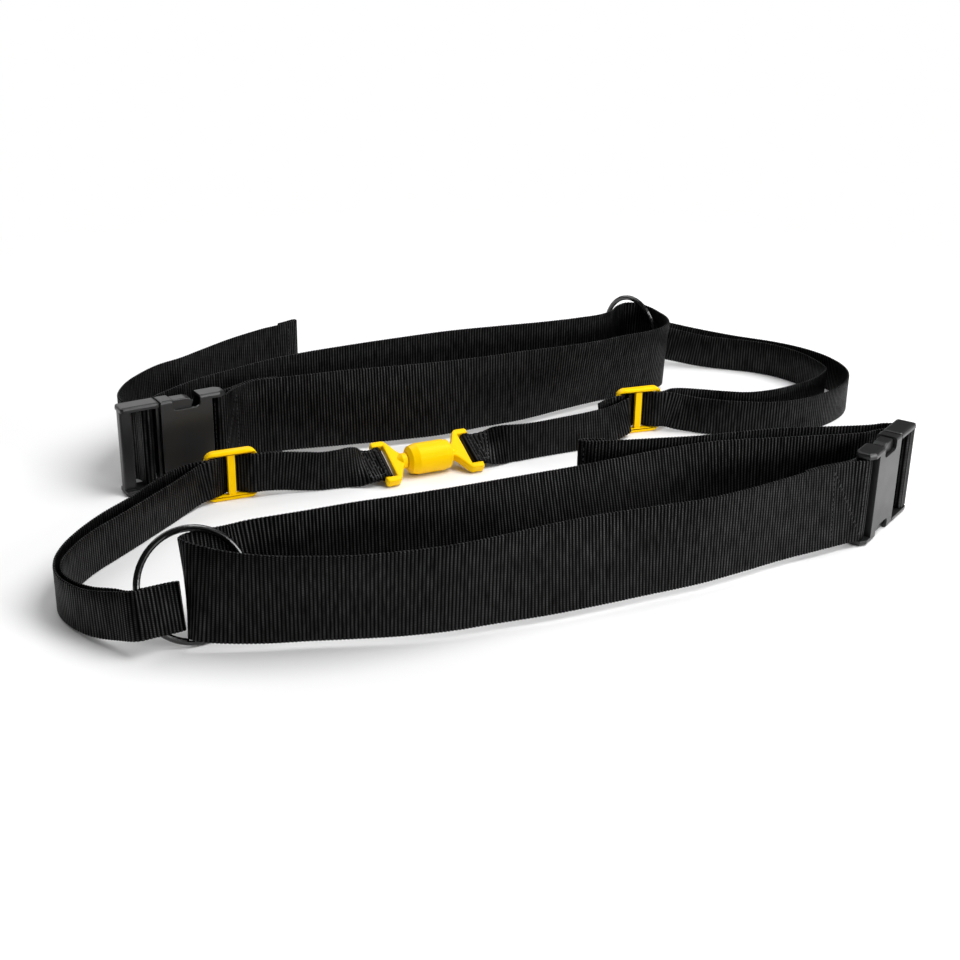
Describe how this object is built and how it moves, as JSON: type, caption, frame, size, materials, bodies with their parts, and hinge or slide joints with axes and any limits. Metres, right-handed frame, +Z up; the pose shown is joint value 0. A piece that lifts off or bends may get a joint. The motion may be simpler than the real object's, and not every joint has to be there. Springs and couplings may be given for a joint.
{
  "type": "resistance training belt",
  "caption": "Pair of buckled waist belts of wide black webbing, linked ring to ring by narrow adjustable tethers with a yellow pull-apart connector.",
  "frame": {"origin": "on the floor under the middle of the laid-out set's bounding box", "axes": "+X along the longer side of the laid-out set, +Z up from the floor"},
  "size_m": [0.5849, 0.3902, 0.0604],
  "materials": {
    "webbing": "matte black ribbed nylon webbing",
    "black_plastic": "satin black acetal",
    "yellow_plastic": "satin bright yellow moulding",
    "black_steel": "gloss black coated steel wire"
  },
  "bodies": {
    "left_tether": {"left_tether_webbing": "webbing", "left_release_hook": "yellow_plastic"},
    "left_slider": {"left_slider": "yellow_plastic"},
    "release_barrel": {"release_barrel": "yellow_plastic"},
    "front_ring": {"front_ring": "black_steel"},
    "front_belt": {"front_belt_webbing": "webbing", "front_buckle_socket": "black_plastic"},
    "front_plug": {"front_buckle_plug": "black_plastic"},
    "front_upper_latch": {"front_buckle_upper_latch": "black_plastic"},
    "front_lower_latch": {"front_buckle_lower_latch": "black_plastic"},
    "right_tether": {"right_tether_webbing": "webbing", "right_release_hook": "yellow_plastic"},
    "right_slider": {"right_slider": "yellow_plastic"},
    "rear_ring": {"rear_ring": "black_steel"},
    "rear_belt": {"rear_belt_webbing": "webbing", "rear_buckle_socket": "black_plastic"},
    "rear_plug": {"rear_buckle_plug": "black_plastic"},
    "rear_upper_latch": {"rear_buckle_upper_latch": "black_plastic"},
    "rear_lower_latch": {"rear_buckle_lower_latch": "black_plastic"}
  },
  "joints": [
    {"name": "left_slider_travel", "type": "slide", "parent": "left_tether", "child": "left_slider", "axis": [1, 0, 0], "range_m": [-0.01, 0.01], "deforming": ["left_tether_webbing"]},
    {"name": "release_barrel_turn", "type": "hinge", "parent": "left_tether", "child": "release_barrel", "pos_m": [-0.042, 0.0164, 0.01], "axis": [0.9998, 0.0209, 0], "continuous": true},
    {"name": "front_ring_swing", "type": "hinge", "parent": "left_tether", "child": "front_ring", "pos_m": [-0.25803, -0.14073, 0.0197], "axis": [-0.342, 0.3321, 0.879], "range_deg": [-12, 4], "deforming": ["left_tether_webbing"]},
    {"name": "front_belt_swing", "type": "hinge", "parent": "front_ring", "child": "front_belt", "pos_m": [-0.2315, -0.1355, 0.02804], "axis": [-0.0261, 0.3737, 0.9272], "range_deg": [-12, 4], "deforming": ["front_belt_webbing"]},
    {"name": "front_plug_travel", "type": "slide", "parent": "front_belt", "child": "front_plug", "axis": [0.8616, 0.5075, 0], "range_m": [0, 0.038], "deforming": ["front_belt_webbing", "front_buckle_upper_latch", "front_buckle_lower_latch"]},
    {"name": "front_upper_latch_bend", "type": "hinge", "parent": "front_plug", "child": "front_upper_latch", "pos_m": [0.1771, -0.15845, 0.0491], "axis": [0.5075, -0.8616, 0], "range_deg": [0, 14], "stiffness_Nm_per_rad": 0.6},
    {"name": "front_lower_latch_bend", "type": "hinge", "parent": "front_plug", "child": "front_lower_latch", "pos_m": [0.1771, -0.15845, 0.0079], "axis": [-0.5075, 0.8616, 0], "range_deg": [0, 14], "stiffness_Nm_per_rad": 0.6},
    {"name": "right_tether_pull", "type": "slide", "parent": "left_tether", "child": "right_tether", "axis": [0.9998, 0.0209, 0], "range_m": [0, 0.05]},
    {"name": "right_slider_travel", "type": "slide", "parent": "right_tether", "child": "right_slider", "axis": [0.9962, -0.0872, 0], "range_m": [-0.01, 0.01], "deforming": ["right_tether_webbing"]},
    {"name": "rear_ring_swing", "type": "hinge", "parent": "right_tether", "child": "rear_ring", "pos_m": [0.16952, 0.16462, 0.0236], "axis": [-0.0399, 0.2262, 0.9733], "range_deg": [-10, 1], "deforming": ["right_tether_webbing"]},
    {"name": "rear_belt_swing", "type": "hinge", "parent": "rear_ring", "child": "rear_belt", "pos_m": [0.1743, 0.1375, 0.0301], "axis": [0, 0, 1], "range_deg": [-12, 1], "deforming": ["rear_belt_webbing"]},
    {"name": "rear_plug_travel", "type": "slide", "parent": "rear_belt", "child": "rear_plug", "axis": [-0.9917, -0.1288, 0], "range_m": [0, 0.038], "deforming": ["rear_belt_webbing", "rear_buckle_upper_latch", "rear_buckle_lower_latch"]},
    {"name": "rear_upper_latch_bend", "type": "hinge", "parent": "rear_plug", "child": "rear_upper_latch", "pos_m": [-0.19996, 0.05708, 0.0491], "axis": [-0.1288, 0.9917, 0], "range_deg": [0, 14], "stiffness_Nm_per_rad": 0.6},
    {"name": "rear_lower_latch_bend", "type": "hinge", "parent": "rear_plug", "child": "rear_lower_latch", "pos_m": [-0.19996, 0.05708, 0.0079], "axis": [0.1288, -0.9917, 0], "range_deg": [0, 14], "stiffness_Nm_per_rad": 0.6}
  ]
}
